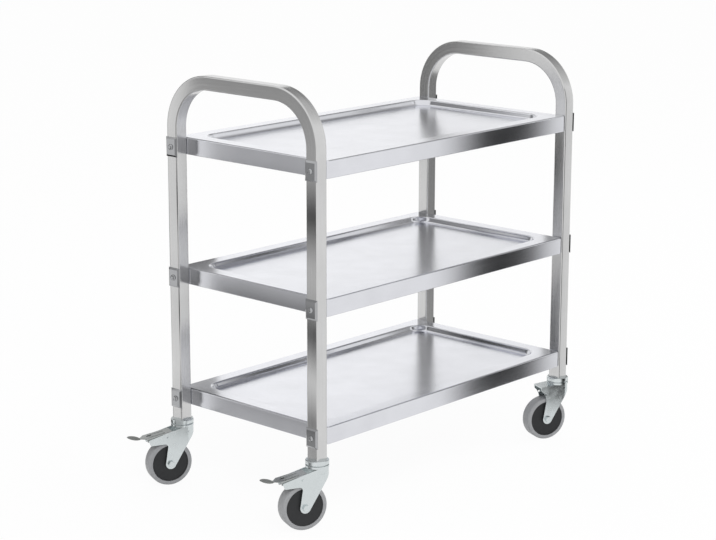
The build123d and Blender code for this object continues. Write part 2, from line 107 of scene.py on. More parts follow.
# Turned profiles, each point its radius and its distance from the wheel's middle, in millimetres.
TYRE_PROFILE = (
    (41, -14.6), (42.5, -15), (46, -15), (48, -14.4), (49.4, -13), (50, -11), (50, 11),
    (49.4, 13), (48, 14.4), (46, 15), (42.5, 15), (41, 14.6), (41, 5), (43, 5), (43, -5),
    (41, -5),
)
CORE_PROFILE = (
    (6.08, -15.7), (9, -15.7), (9.6, -15), (9.8, -13.2), (37.2, -12.8), (38.2, -13.2),
    (38.8, -14), (40.6, -14), (41, -13.6), (41, -5), (43, -5), (43, 5), (41, 5), (41, 13.6),
    (40.6, 14), (38.8, 14), (38.2, 13.2), (37.2, 12.8), (9.8, 13.2), (9.6, 15), (9, 15.7),
    (6.08, 15.7),
)


def corners_of(node):
    """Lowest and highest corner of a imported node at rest."""
    low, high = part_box(node)
    return Vector(low), Vector(high)


LEFT_LOW, LEFT_HIGH = corners_of("left_end_frame")
RIGHT_HIGH = corners_of("right_end_frame")[1]
CENTRE = Vector(((LEFT_LOW.x + RIGHT_HIGH.x) / 2, (LEFT_LOW.y + LEFT_HIGH.y) / 2, 0))
JOINTS = {joint["name"]: joint for joint in frame["joints"]}


def linear(hex_colour):
    """Scene-linear RGBA of an sRGB hex colour such as C8C8C8."""
    shares = [int(hex_colour[i:i + 2], 16) / 255 for i in (0, 2, 4)]
    return tuple(
        share / 12.92 if share <= 0.04045 else ((share + 0.055) / 1.055) ** 2.4
        for share in shares
    ) + (1.0,)


class CartSizes(bpy.types.PropertyGroup):
    """Sizes of the cart's sheet metal, in metres."""

    tube: FloatProperty(
        name="Tube", description="Outside width of the square tube",
        default=LEFT_HIGH.x - LEFT_LOW.x, unit="LENGTH")
    tube_wall: FloatProperty(
        name="Tube wall", description="Wall of the square tube", default=1.2 * MM, unit="LENGTH")
    tube_edge: FloatProperty(
        name="Tube edge", description="Outside corner radius of the tube",
        default=3.0 * MM, unit="LENGTH")
    handle_bend: FloatProperty(
        name="Handle bend", description="Bend radius of the handle on the tube's centre line",
        default=105.0 * MM, unit="LENGTH")
    sheet: FloatProperty(
        name="Sheet", description="Thickness of the tray's sheet", default=1.0 * MM, unit="LENGTH")
    hem: FloatProperty(
        name="Hem", description="Width turned in under the apron", default=12.0 * MM, unit="LENGTH")
    tray_corner: FloatProperty(
        name="Tray corner", description="Outside corner radius of the tray",
        default=8.0 * MM, unit="LENGTH")
    rim: FloatProperty(
        name="Rim", description="Width of the flat rim round the sunk floor",
        default=36.0 * MM, unit="LENGTH")
    recess: FloatProperty(
        name="Recess", description="Depth of the sunk floor", default=12.0 * MM, unit="LENGTH")
    recess_run: FloatProperty(
        name="Recess run", description="How far the recess wall leans in",
        default=5.0 * MM, unit="LENGTH")
    recess_corner: FloatProperty(
        name="Recess corner", description="Corner radius of the recess",
        default=36.0 * MM, unit="LENGTH")
    fold: FloatProperty(
        name="Fold", description="Outside radius where the hem turns in",
        default=1.5 * MM, unit="LENGTH")
    edge_fold: FloatProperty(
        name="Edge fold", description="Outside radius between the rim and the apron",
        default=4.0 * MM, unit="LENGTH")
    lip_fold: FloatProperty(
        name="Lip fold", description="Radius where the rim dips into the recess",
        default=5.0 * MM, unit="LENGTH")
    floor_fold: FloatProperty(
        name="Floor fold", description="Radius where the recess wall meets the floor",
        default=7.0 * MM, unit="LENGTH")
    round_steps: IntProperty(
        name="Round steps", description="Steps round a full turn of a wheel",
        default=96, subtype="UNSIGNED")


class CartFinish(bpy.types.PropertyGroup):
    """Colours of the cart's finishes."""

    steel: FloatVectorProperty(
        name="Brushed steel", description="Body colour of the brushed stainless sheet",
        subtype="COLOR", size=4, min=0, max=1, default=linear("CFCFCF"))
    tray_steel: FloatVectorProperty(
        name="Tray steel", description="Body colour of the smoother tray sheet",
        subtype="COLOR", size=4, min=0, max=1, default=linear("DCDDE2"))
    chrome: FloatVectorProperty(
        name="Chrome", description="Body colour of the plated plates and bolts",
        subtype="COLOR", size=4, min=0, max=1, default=linear("ABACAE"))
    zinc: FloatVectorProperty(
        name="Zinc", description="Body colour of the zinc plated casters",
        subtype="COLOR", size=4, min=0, max=1, default=linear("D3D9DA"))
    dull_zinc: FloatVectorProperty(
        name="Dull zinc", description="Body colour of the duller zinc of the brake pedals",
        subtype="COLOR", size=4, min=0, max=1, default=linear("A9ACAB"))
    core: FloatVectorProperty(
        name="Wheel core", description="Colour of the moulded wheel centre",
        subtype="COLOR", size=4, min=0, max=1, default=linear("1E1F21"))
    tyre: FloatVectorProperty(
        name="Tyre", description="Colour of the grey tyre",
        subtype="COLOR", size=4, min=0, max=1, default=linear("9A9B9D"))
    pad: FloatVectorProperty(
        name="Pedal pad", description="Colour of the foot pad",
        subtype="COLOR", size=4, min=0, max=1, default=linear("747674"))
    floor: FloatVectorProperty(
        name="Floor", description="Colour of the studio floor",
        subtype="COLOR", size=4, min=0, max=1, default=linear("F4F4F4"))


def add(tree, kind, links=None, **settings):
    """Add a shader node with its settings, and links by socket name."""
    node = tree.nodes.new(kind)
    sockets = {}
    for key, value in settings.items():
        if hasattr(node, key):
            setattr(node, key, value)
        else:
            sockets[key] = value
    for key, value in sockets.items():
        node.inputs[key.replace("_", " ")].default_value = value
    for key, value in (links or {}).items():
        tree.links.new(value, node.inputs[key])
    return node


def new_material(name):
    """An empty node material and its tree."""
    material = bpy.data.materials.new(name)
    material.use_nodes = True
    material.node_tree.nodes.clear()
    return material, material.node_tree

def brushed_metal(name, colour, coordinates, roughness, streaks, depth, wear=0.0, painted_top_light=0.0):
    """Ground and brushed sheet: fine scratches drawn out along the first of its coordinates.

    The real scratches lie about 0.2 mm apart, too fine for the render, so they are drawn a few
    millimetres apart. They break the gloss into soft streaks along the brushing, as strong as the
    given share. Wear makes the level surfaces rougher, and painted light from above makes them
    lighter by a share.
    """
    scratch_gap, scratch_length, cloud_size = 2.4 * MM, 160 * MM, 70 * MM
    clouding, level_from = 0.03, 0.97
    # The usual range of the two noises.
    fine_low, fine_high, low, high = 0.25, 0.75, 0.3, 0.7
    material, tree = new_material(name)
    if coordinates == "Object":
        place = add(tree, "ShaderNodeTexCoord").outputs["Object"]
    else:
        place = add(tree, "ShaderNodeAttribute", attribute_name=coordinates).outputs["Vector"]
    drawn = add(tree, "ShaderNodeMapping", {"Vector": place},
                Scale=(1 / scratch_length, 1 / scratch_gap, 1 / scratch_gap))
    scratch = add(tree, "ShaderNodeTexNoise", {"Vector": drawn.outputs[0]}, Scale=1.0, Detail=3.0,
                  Roughness=0.6)
    cloud = add(tree, "ShaderNodeTexNoise", {"Vector": place}, Scale=1 / cloud_size, Detail=2.0)
    tone = add(tree, "ShaderNodeMapRange", {"Value": scratch.outputs["Fac"]}, From_Min=fine_low,
               From_Max=fine_high, To_Min=1 - streaks, To_Max=1 + streaks / 2)
    shade = add(tree, "ShaderNodeMapRange", {"Value": cloud.outputs["Fac"]}, From_Min=low,
                From_Max=high, To_Min=1 - clouding, To_Max=1 + clouding)
    way = add(tree, "ShaderNodeSeparateXYZ",
              {"Vector": add(tree, "ShaderNodeNewGeometry").outputs["Normal"]})
    # Painted light: faces that look up get a lighter colour, by the given share.
    pale = add(tree, "ShaderNodeMapRange", {"Value": way.outputs["Z"]}, From_Min=level_from,
               From_Max=1.0, To_Min=1.0, To_Max=1 + painted_top_light)
    uneven = add(tree, "ShaderNodeMath", {0: tone.outputs[0], 1: shade.outputs[0]},
                 operation="MULTIPLY")
    strength = add(tree, "ShaderNodeMath", {0: uneven.outputs[0], 1: pale.outputs[0]},
                   operation="MULTIPLY")
    body = add(tree, "ShaderNodeVectorMath", {"Scale": strength.outputs[0]}, operation="SCALE",
               Vector=colour[:3])
    gloss = add(tree, "ShaderNodeMapRange", {"Value": scratch.outputs["Fac"]}, From_Min=fine_low,
                From_Max=fine_high, To_Min=roughness * (1 - 3 * streaks),
                To_Max=roughness * (1 + 3 * streaks))
    worn = add(tree, "ShaderNodeMapRange", {"Value": way.outputs["Z"]}, From_Min=level_from,
               From_Max=1.0, To_Min=1.0, To_Max=1 + wear)
    dull = add(tree, "ShaderNodeMath", {0: gloss.outputs[0], 1: worn.outputs[0]},
               operation="MULTIPLY")
    bump = add(tree, "ShaderNodeBump", {"Height": scratch.outputs["Fac"]}, Strength=depth,
               Distance=0.05 * MM)
    shader = add(tree, "ShaderNodeBsdfPrincipled", {
        "Base Color": body.outputs[0], "Roughness": dull.outputs[0], "Normal": bump.outputs[0],
    }, Metallic=1.0)
    add(tree, "ShaderNodeOutputMaterial", {"Surface": shader.outputs[0]})
    return material


def plated_metal(name, colour, roughness, mottle, cloud_mm, depth):
    """Electroplated steel: bright, with faint clouds where the bath left its mark."""
    low, high = 0.3, 0.7
    material, tree = new_material(name)
    place = add(tree, "ShaderNodeTexCoord").outputs["Object"]
    cloud = add(tree, "ShaderNodeTexNoise", {"Vector": place}, Scale=1 / (cloud_mm * MM),
                Detail=4.0, Roughness=0.55)
    tone = add(tree, "ShaderNodeMapRange", {"Value": cloud.outputs["Fac"]}, From_Min=low,
               From_Max=high, To_Min=1 - mottle, To_Max=1 + mottle / 2)
    body = add(tree, "ShaderNodeVectorMath", {"Scale": tone.outputs[0]}, operation="SCALE",
               Vector=colour[:3])
    gloss = add(tree, "ShaderNodeMapRange", {"Value": cloud.outputs["Fac"]}, From_Min=low,
                From_Max=high, To_Min=roughness * 0.75, To_Max=roughness * 1.3)
    bump = add(tree, "ShaderNodeBump", {"Height": cloud.outputs["Fac"]}, Strength=depth,
               Distance=0.1 * MM)
    shader = add(tree, "ShaderNodeBsdfPrincipled", {
        "Base Color": body.outputs[0], "Roughness": gloss.outputs[0], "Normal": bump.outputs[0],
    }, Metallic=1.0)
    add(tree, "ShaderNodeOutputMaterial", {"Surface": shader.outputs[0]})
    return material


def moulded(name, colour, roughness, grain_mm, variation, depth):
    """Moulded plastic or rubber: spark-eroded grain from the mould, slightly uneven in tone."""
    low, high = 0.3, 0.7
    material, tree = new_material(name)
    place = add(tree, "ShaderNodeTexCoord").outputs["Object"]
    grain = add(tree, "ShaderNodeTexNoise", {"Vector": place}, Scale=1 / (grain_mm * MM),
                Detail=3.0, Roughness=0.7)
    tone = add(tree, "ShaderNodeMapRange", {"Value": grain.outputs["Fac"]}, From_Min=low,
               From_Max=high, To_Min=1 - variation, To_Max=1 + variation)
    body = add(tree, "ShaderNodeVectorMath", {"Scale": tone.outputs[0]}, operation="SCALE",
               Vector=colour[:3])
    gloss = add(tree, "ShaderNodeMapRange", {"Value": grain.outputs["Fac"]}, From_Min=low,
                From_Max=high, To_Min=roughness * 0.9, To_Max=roughness * 1.15)
    bump = add(tree, "ShaderNodeBump", {"Height": grain.outputs["Fac"]}, Strength=depth,
               Distance=0.2 * MM)
    shader = add(tree, "ShaderNodeBsdfPrincipled", {
        "Base Color": body.outputs[0], "Roughness": gloss.outputs[0], "Normal": bump.outputs[0],
    })
    add(tree, "ShaderNodeOutputMaterial", {"Surface": shader.outputs[0]})
    return material


def finishes():
    """Every finish on the cart, by name."""
    tones = bpy.context.scene.cart_finish
    return {
        # Tube ground along its run: soft long streaks that follow it round the bends.
        "brushed_tube": brushed_metal(
            "BrushedStainlessTube", tones.steel, RUN,
            roughness=0.2, streaks=0.07, depth=0.2),
        # Finer ground tray sheet: nearly even, with a duller sheen on its level faces.
        # Painted light from above makes those faces lighter.
        "brushed_sheet": brushed_metal(
            "BrushedStainlessSheet", tones.tray_steel, "Object",
            roughness=0.19, streaks=0.02, depth=0.03, wear=0.15, painted_top_light=0.17),
        # Plates and bolts: a darker metal with crisp reflections.
        "chrome": plated_metal(
            "ChromePlate", tones.chrome, roughness=0.12, mottle=0.04, cloud_mm=12, depth=0.05),
        # Pressed caster parts: pale and silvery, with broad soft highlights.
        "zinc": plated_metal(
            "BrightZincPlate", tones.zinc, roughness=0.24, mottle=0.04, cloud_mm=14, depth=0.02),
        # Brake pedals: a greyer zinc that has been stepped on.
        "dull_zinc": plated_metal(
            "DullZincPlate", tones.dull_zinc, roughness=0.22, mottle=0.05, cloud_mm=14,
            depth=0.02),
        # Wheel centres: nearly black, with a faint grainy sheen.
        "core": moulded(
            "TexturedPolypropylene", tones.core, roughness=0.55, grain_mm=1.2, variation=0.25,
            depth=0.35),
        # Tyres: an even matt grey with a wide dim highlight.
        "tyre": moulded(
            "GreyThermoplasticRubber", tones.tyre, roughness=0.45, grain_mm=4, variation=0.05,
            depth=0.1),
        # Foot pads: a mid grey with a low satin sheen.
        "pad": moulded(
            "MouldedNylon", tones.pad, roughness=0.5, grain_mm=2, variation=0.08, depth=0.15),
    }


SHADES = {}


def finish(name):
    """One finish, made on first use."""
    if not SHADES:
        SHADES.update(finishes())
    return SHADES[name]


def smooth_by_angle(mesh, angle):
    """Smooth shading, with edges sharper than the angle kept crisp."""
    mesh.polygons.foreach_set("use_smooth", [True] * len(mesh.polygons))
    mesh.set_sharp_from_angle(angle=radians(angle))


def new_object(name, bm, material):
    """Turn a finished bmesh into an object of one material."""
    mesh = bpy.data.meshes.new(name)
    bm.to_mesh(mesh)
    bm.free()
    mesh.materials.append(material)
    made = bpy.data.objects.new(name, mesh)
    bpy.context.scene.collection.objects.link(made)
    return made


def new_piece(name, bm, shade, body, nodes, angle):
    """Turn a finished bmesh into a piece that rides on a body and replaces its solids."""
    piece = new_object(name, bm, finish(shade))
    smooth_by_angle(piece.data, angle)
    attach(piece, body)
    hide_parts(*nodes)
    return piece


def add_modifier(piece, kind, **settings):
    """Add a modifier with its settings."""
    modifier = piece.modifiers.new(kind.title(), kind)
    for key, value in settings.items():
        setattr(modifier, key, value)
    return modifier


def rounded_loop(bm, half_x, half_y, radius, z, steps):
    """Edges of a level rectangle with rounded corners."""
    before = set(bm.edges)
    made = bmesh.ops.create_circle(bm, cap_ends=False, segments=4, radius=1)
    verts = made["verts"]
    bmesh.ops.rotate(bm, verts=verts, cent=(0, 0, 0), matrix=Matrix.Rotation(pi / 4, 3, "Z"))
    side = cos(pi / 4)
    bmesh.ops.scale(bm, verts=verts, vec=(half_x / side, half_y / side, 1))
    bmesh.ops.translate(bm, verts=verts, vec=(0, 0, z))
    bmesh.ops.bevel(bm, geom=verts, offset=radius, offset_type="OFFSET", segments=steps,
                    profile=0.5, affect="VERTICES", material=-1, clamp_overlap=False)
    return [edge for edge in bm.edges if edge not in before]


def loop_verts(edges):
    """The vertices of some edges."""
    return list({vert for edge in edges for vert in edge.verts})


def edges_in(items):
    """The edges among some new items of a bmesh."""
    return [item for item in items if isinstance(item, bmesh.types.BMEdge)]


def extrude_loop(bm, edges):
    """Extrude a loop of edges: the new loop, and its vertices."""
    made = bmesh.ops.extrude_edge_only(bm, edges=edges)["geom"]
    verts = {item for item in made if isinstance(item, bmesh.types.BMVert)}
    loop = [edge for edge in edges_in(made) if all(vert in verts for vert in edge.verts)]
    return loop, verts


def face_out(bm):
    """Merge doubles and point all faces outwards."""
    bmesh.ops.remove_doubles(bm, verts=bm.verts, dist=MERGE)
    bmesh.ops.recalc_face_normals(bm, faces=bm.faces)


def end_tube_mesh(sizes, low, high):
    """Square tube bent into an upside-down U, as one open sleeve with its run along the tube."""
    half = sizes.tube / 2
    bend = sizes.handle_bend
    centre_x = (low.x + high.x) / 2
    leg = Vector((centre_x, low.y + half, low.z))
    far_y = high.y - half
    bend_z = high.z - half - bend
    bm = bmesh.new()
    edges = rounded_loop(bm, half, half, sizes.tube_edge, 0, TUBE_EDGE_STEPS)
    bmesh.ops.translate(bm, verts=loop_verts(edges), vec=leg)

    def push(edges, vector, rows):
        for _ in range(rows):
            edges, verts = extrude_loop(bm, edges)
            bmesh.ops.translate(bm, verts=list(verts), vec=vector / rows)
        return edges

    def bend_round(edges, centre):
        made = bmesh.ops.spin(bm, geom=edges, cent=centre, axis=(1, 0, 0), angle=-pi / 2,
                              steps=BEND_STEPS, use_duplicate=False)["geom_last"]
        return edges_in(made)

    edges = push(edges, Vector((0, 0, bend_z - low.z)), LEG_ROWS)
    edges = bend_round(edges, (centre_x, leg.y + bend, bend_z))
    edges = push(edges, Vector((0, far_y - leg.y - 2 * bend, 0)), HANDLE_ROWS)
    edges = bend_round(edges, (centre_x, far_y - bend, bend_z))
    push(edges, Vector((0, 0, low.z - bend_z)), LEG_ROWS)
    face_out(bm)
    write_run(bm, centre_x, leg.y, far_y, bend_z, bend)
    return bm


def write_run(bm, centre_x, near_y, far_y, bend_z, bend):
    """Store each vertex's place along the tube, across it and out from it, for the brushing."""
    layer = bm.verts.layers.float_vector.new(RUN)
    arc = bend * pi / 2
    straight = far_y - near_y - 2 * bend
    for vert in bm.verts:
        x, y, z = vert.co
        if z <= bend_z:
            near = y < (near_y + far_y) / 2
            length = z if near else 2 * bend_z + 2 * arc + straight - z
            out = (near_y - y) if near else (y - far_y)
        elif y < near_y + bend:
            turn = atan2(z - bend_z, near_y + bend - y)
            length = bend_z + bend * turn
            out = hypot(z - bend_z, near_y + bend - y) - bend
        elif y > far_y - bend:
            turn = atan2(y - far_y + bend, z - bend_z)
            length = bend_z + arc + straight + bend * turn
            out = hypot(z - bend_z, y - far_y + bend) - bend
        else:
            length = bend_z + arc + y - near_y - bend
            out = z - bend_z - bend
        vert[layer] = Vector((length, x - centre_x, out))


class CART_OT_end_frames(bpy.types.Operator):
    """Bend the two end frames from square tube"""

    bl_idname = "cart.end_frames"
    bl_label = "End frames"

    def execute(self, context):
        sizes = context.scene.cart_sizes
        for end in ENDS:
            node = end + "_end_frame"
            low, high = corners_of(node)
            piece = new_piece(end + "_end_tube", end_tube_mesh(sizes, low, high), "brushed_tube",
                              "cart", [node], angle=30)
            add_modifier(piece, "SOLIDIFY", thickness=sizes.tube_wall, offset=-1)
            add_modifier(piece, "WEIGHTED_NORMAL", keep_sharp=True, weight=SHEET_WEIGHT)
        return {"FINISHED"}


def filleted(corners, steps):
    """Outline through corners of place and radius, with the inner ones rounded to their radius."""
    points = [Vector(corners[0][0])]
    for (before, _), (corner, radius), (after, _) in zip(corners, corners[1:], corners[2:]):
        corner = Vector(corner)
        back, ahead = (Vector(before) - corner).normalized(), (Vector(after) - corner).normalized()
        half = back.angle(ahead) / 2
        middle = corner + (back + ahead).normalized() * radius / sin(half)
        first = corner + back * radius / tan(half) - middle
        last = corner + ahead * radius / tan(half) - middle
        sweep = atan2(first.cross(last), first.dot(last))
        points += [middle + Matrix.Rotation(sweep * step / steps, 2) @ first
                   for step in range(steps + 1)]
    return points + [Vector(corners[-1][0])]


def tray_mesh(sizes, low, high):
    """Pressed tray: loops from the hem's inner edge round the apron and rim down to the floor.

    Each row holds a loop's half length, half width, corner radius and height.
    """
    centre = (low + high) / 2
    half_x = (high.x - low.x) / 2
    half_y = (high.y - low.y) / 2
    deep = high.z - low.z
    rim, foot = sizes.rim, sizes.rim + sizes.recess_run
    section = filleted((
        ((sizes.hem, -deep), 0),
        ((0, -deep), sizes.fold),
        ((0, 0), sizes.edge_fold),
        ((rim, 0), sizes.lip_fold),
        ((foot, -sizes.recess), sizes.floor_fold),
        ((foot + sizes.rim, -sizes.recess), 0),
    ), FOLD_STEPS)
    rows = []
    for inset, level in section:
        outer = sizes.tray_corner - inset if inset < rim / 2 else sizes.recess_corner + rim - inset
        rows.append((half_x - inset, half_y - inset, max(outer, sizes.fold), level))
    bm = bmesh.new()
    edges = rounded_loop(bm, *rows[0], TRAY_CORNER_STEPS)
    for old, new in zip(rows, rows[1:]):
        edges, verts = extrude_loop(bm, edges)
        for vert in verts:
            for way in (0, 1):
                side = copysign(1, vert.co[way])
                share = (vert.co[way] * side - old[way] + old[2]) / old[2]
                vert.co[way] = side * (new[way] - new[2] + share * new[2])
            vert.co.z = new[3]
    bmesh.ops.edgeloop_fill(bm, edges=edges)
    bmesh.ops.translate(bm, verts=bm.verts, vec=(centre.x, centre.y, high.z))
    face_out(bm)
    floor = max(bm.faces, key=lambda face: face.calc_area())
    if floor.normal.z < 0:
        bmesh.ops.reverse_faces(bm, faces=bm.faces)
    return bm


class CART_OT_trays(bpy.types.Operator):
    """Press the three trays from sheet"""

    bl_idname = "cart.trays"
    bl_label = "Trays"

    def execute(self, context):
        sizes = context.scene.cart_sizes
        for tier in TIERS:
            node = tier + "_tray"
            low, high = corners_of(node)
            piece = new_piece(tier + "_pressed_tray", tray_mesh(sizes, low, high), "brushed_sheet",
                              "cart", [node], angle=40)
            add_modifier(piece, "SOLIDIFY", thickness=sizes.sheet, offset=-1)
            add_modifier(piece, "WEIGHTED_NORMAL", keep_sharp=True, weight=SHEET_WEIGHT)
        return {"FINISHED"}


def refined_copy(node, shade, width=0.0, segments=2, angle=35):
    """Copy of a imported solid, its edges broken by a width, as tumbled or plated steel has them."""
    source = frame["nodes"][node]
    bm = bmesh.new()
    bm.from_mesh(source.data)
    bmesh.ops.remove_doubles(bm, verts=bm.verts, dist=MERGE)
    bmesh.ops.dissolve_limit(bm, angle_limit=radians(FLAT_ANGLE), use_dissolve_boundaries=False,
                             verts=bm.verts, edges=bm.edges)
    piece = new_piece(node + "_finished", bm, shade, source["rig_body"], [node], angle=angle)
    if width:
        add_modifier(piece, "BEVEL", width=width, segments=segments, limit_method="ANGLE",
                     angle_limit=radians(EDGE_ANGLE), harden_normals=False)
    add_modifier(piece, "WEIGHTED_NORMAL", keep_sharp=True, weight=SOLID_WEIGHT)
    return piece


class CART_OT_fastenings(bpy.types.Operator):
    """Finish the washer plates and the domed bolts"""

    bl_idname = "cart.fastenings"
    bl_label = "Washer plates and bolts"

    def execute(self, context):
        for end in ENDS:
            refined_copy(end + "_washer_plates", "chrome", width=0.5 * MM)
            refined_copy(end + "_tray_bolts", "chrome", angle=60)
        return {"FINISHED"}


def turned_mesh(profile, centre, axis, steps):
    """Closed ring turned about an axle from a profile in millimetres."""
    axis = Vector(axis).normalized()
    bm = bmesh.new()
    up = Vector((0, 0, 1))
    verts = [bm.verts.new(centre + up * (radius * MM) + axis * (width * MM))
             for radius, width in profile]
    edges = [bm.edges.new((verts[i - 1], verts[i])) for i in range(len(verts))]
    bmesh.ops.spin(bm, geom=verts + edges, cent=centre, axis=axis, angle=2 * pi, steps=steps,
                   use_merge=True, use_duplicate=False)
    face_out(bm)
    return bm


class CART_OT_wheels(bpy.types.Operator):
    """Turn the tyres and the moulded wheel centres"""

    bl_idname = "cart.wheels"
    bl_label = "Wheels"

    def execute(self, context):
        steps = context.scene.cart_sizes.round_steps
        for corner in CORNERS:
            joint = JOINTS[corner + "_wheel_spin"]
            centre, axis = Vector(joint["pos_m"]), joint["axis"]
            body = corner + "_wheel"
            tyre = turned_mesh(TYRE_PROFILE, centre, axis, steps)
            new_piece(corner + "_soft_tyre", tyre, "tyre", body,
                      [corner + "_tyre"], angle=40)
            core = turned_mesh(CORE_PROFILE, centre, axis, steps)
            new_piece(corner + "_wheel_centre", core, "core", body,
                      [corner + "_wheel_core"], angle=35)
        return {"FINISHED"}


class CART_OT_casters(bpy.types.Operator):
    """Finish the forks, swivel heads and axles"""

    bl_idname = "cart.casters"
    bl_label = "Casters"

    def execute(self, context):
        for corner in CORNERS:
            refined_copy(corner + "_fork", "zinc", width=0.35 * MM)
            refined_copy(corner + "_swivel_cup", "zinc", width=0.3 * MM)
            refined_copy(corner + "_axle_bolt", "zinc", width=0.4 * MM)
            refined_copy(corner + "_axle_nut", "zinc", width=0.4 * MM)
        return {"FINISHED"}


class CART_OT_brakes(bpy.types.Operator):
    """Finish the brake pedals and their pads"""

    bl_idname = "cart.brakes"
    bl_label = "Brakes"

    def execute(self, context):
        for corner in BRAKED:
            refined_copy(corner + "_brake_pedal", "dull_zinc", width=0.2 * MM)
            refined_copy(corner + "_pedal_pad", "pad", width=0.8 * MM,
                         segments=3)
        return {"FINISHED"}


class CART_OT_hidden_pieces(bpy.types.Operator):
    """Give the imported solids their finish, also those that a piece replaces"""

    bl_idname = "cart.hidden_pieces"
    bl_label = "Hidden pieces"

    def execute(self, context):
        shades = {
            "brackets": "brushed_sheet", "nuts": "zinc", "sockets": "core", "bearings": "core",
            "stem": "zinc", "bush": "zinc", "shoe": "core", "pin": "zinc", "fork": "zinc",
            "bolt": "zinc", "nut": "zinc", "cup": "zinc", "pedal": "dull_zinc", "pad": "pad",
            "tyre": "tyre", "core": "core", "plates": "chrome", "bolts": "chrome",
            "tray": "brushed_sheet", "frame": "brushed_sheet",
        }
        for name, node in frame["nodes"].items():
            shade = finish(shades[name.rsplit("_", 1)[1]])
            node.data.materials.clear()
            node.data.materials.append(shade)
        return {"FINISHED"}


def studio_floor():
    """Pale floor that shows white to the camera and in reflections, and keeps a soft shadow."""
    white_share = 0.94
    material, tree = new_material("StudioFloor")
    ray = add(tree, "ShaderNodeLightPath").outputs
    seen = add(tree, "ShaderNodeMath", {0: ray["Is Camera Ray"], 1: ray["Is Glossy Ray"]},
               operation="MAXIMUM")
    through = add(tree, "ShaderNodeMath", {0: seen.outputs[0], 1: ray["Is Transmission Ray"]},
                  operation="MAXIMUM")
    share = add(tree, "ShaderNodeMath", {0: through.outputs[0]}, operation="MULTIPLY")
    share.inputs[1].default_value = white_share
    matte = add(tree, "ShaderNodeBsdfDiffuse", Color=bpy.context.scene.cart_finish.floor)
    glow = add(tree, "ShaderNodeEmission", Color=WHITE, Strength=1.0)
    mixed = add(tree, "ShaderNodeMixShader",
                {0: share.outputs[0], 1: matte.outputs[0], 2: glow.outputs[0]})
    add(tree, "ShaderNodeOutputMaterial", {"Surface": mixed.outputs[0]})
    return material


def add_floor():
    """Large level floor, a hair below the wheels."""
    half_width, drop = 40, 0.5 * MM
    bm = bmesh.new()
    bmesh.ops.create_grid(bm, x_segments=1, y_segments=1, size=half_width)
    bmesh.ops.translate(bm, verts=bm.verts, vec=(0, 0, -drop))
    plane = new_object("studio_floor", bm, studio_floor())


def add_lamp(name, place, power):
    """Square soft lamp, aimed at the middle of the cart."""
    width, target = 2.5, Vector((0, 0, 0.4))
    lamp = bpy.data.lights.new(name, "AREA")
    lamp.shape = "SQUARE"
    lamp.size = width
    lamp.energy = power
    holder = bpy.data.objects.new(name, lamp)
    holder.location = place
    holder.rotation_euler = (target - Vector(place)).to_track_quat("-Z", "Y").to_euler()
    holder.visible_glossy = False
    bpy.context.scene.collection.objects.link(holder)


def panel_glow(name, height, tones):
    """Glow in tones from a panel's foot to its head, on its front only."""
    material, tree = new_material(name)
    spot = add(tree, "ShaderNodeTexCoord").outputs["Object"]
    parts = add(tree, "ShaderNodeSeparateXYZ", {"Vector": spot})
    rise = add(tree, "ShaderNodeMapRange", {"Value": parts.outputs["Y"]}, From_Min=-height / 2,
               From_Max=height / 2)
    ramp = add(tree, "ShaderNodeValToRGB", {"Fac": rise.outputs[0]})
    stops = ramp.color_ramp.elements
    for share, _ in tones[1:-1]:
        stops.new(share)
    for stop, (_, tone) in zip(stops, tones):
        stop.color = (tone, tone, tone, 1)
    glow = add(tree, "ShaderNodeEmission", {"Color": ramp.outputs["Color"]}, Strength=1.0)
    clear = add(tree, "ShaderNodeBsdfTransparent", Color=WHITE)
    side = add(tree, "ShaderNodeNewGeometry")
    mixed = add(tree, "ShaderNodeMixShader",
                {0: side.outputs["Backfacing"], 1: glow.outputs[0], 2: clear.outputs[0]})
    add(tree, "ShaderNodeOutputMaterial", {"Surface": mixed.outputs[0]})
    return material


def add_panel(name, place, aim, width, height, tones, tilt):
    """Studio panel that only reflections see, and only from its front."""
    bm = bmesh.new()
    bmesh.ops.create_grid(bm, x_segments=1, y_segments=1, size=0.5)
    bmesh.ops.scale(bm, verts=bm.verts, vec=(width, height, 1))
    panel = new_object(name, bm, panel_glow(name, height, tones))
    face = Vector(aim).to_track_quat("Z", "Y").to_matrix().to_4x4()
    turn = Matrix.Rotation(radians(tilt), 4, "Z")
    panel.matrix_world = Matrix.Translation(CENTRE + Vector(place)) @ face @ turn
    for kind in ("camera", "diffuse", "transmission", "shadow", "volume_scatter"):
        setattr(panel, "visible_" + kind, False)


def add_camera():
    """Camera at the photograph's viewpoint, found by matching the cart's straight edges."""
    yaw, pitch, roll = radians(47.507), radians(-13.463), radians(0.12)
    place = Vector((-3.2365, -2.9074, 1.4831))
    focal_pixels, picture_pixels, sensor_mm = 1993.39, 716, 36
    ahead = Vector((sin(yaw) * cos(pitch), cos(yaw) * cos(pitch), sin(pitch)))
    right = Vector((cos(yaw), -sin(yaw), 0))
    up = right.cross(ahead)
    right, up = cos(roll) * right + sin(roll) * up, cos(roll) * up - sin(roll) * right
    camera = bpy.data.cameras.new("Camera")
    camera.sensor_width = sensor_mm
    camera.sensor_fit = "HORIZONTAL"
    camera.lens = focal_pixels / picture_pixels * sensor_mm
    camera.clip_end = 100
    holder = bpy.data.objects.new("Camera", camera)
    turn = Matrix((right, up, -ahead)).transposed().to_4x4()
    holder.matrix_world = Matrix.Translation(CENTRE + place) @ turn
    bpy.context.scene.collection.objects.link(holder)
    bpy.context.scene.camera = holder


